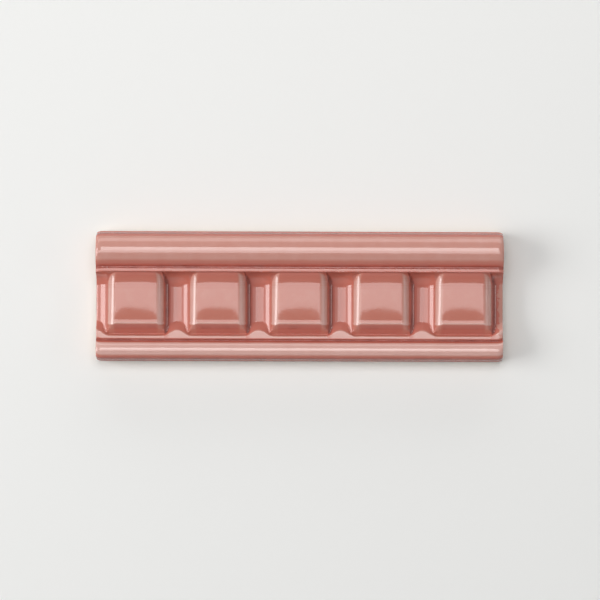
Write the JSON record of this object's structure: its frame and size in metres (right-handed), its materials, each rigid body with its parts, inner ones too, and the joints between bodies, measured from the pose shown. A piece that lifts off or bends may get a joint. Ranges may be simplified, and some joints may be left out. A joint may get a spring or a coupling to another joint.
{
  "type": "dentil moulding tile",
  "caption": "Glazed ceramic trim tile with a quarter-round crown, a row of dentils in a recessed frieze, and a lip and bead along its foot.",
  "frame": {"origin": "centre of the tile's outline, on the plane of its back, which rests on the floor or is bedded on the wall", "axes": "+X along the tile, +Y up the wall towards the crown, +Z out of the wall through the face"},
  "size_m": [0.152, 0.0486, 0.0155],
  "materials": {
    "glaze": "gloss"
  },
  "bodies": {
    "root": {"moulding_tile": "glaze"}
  },
  "joints": []
}
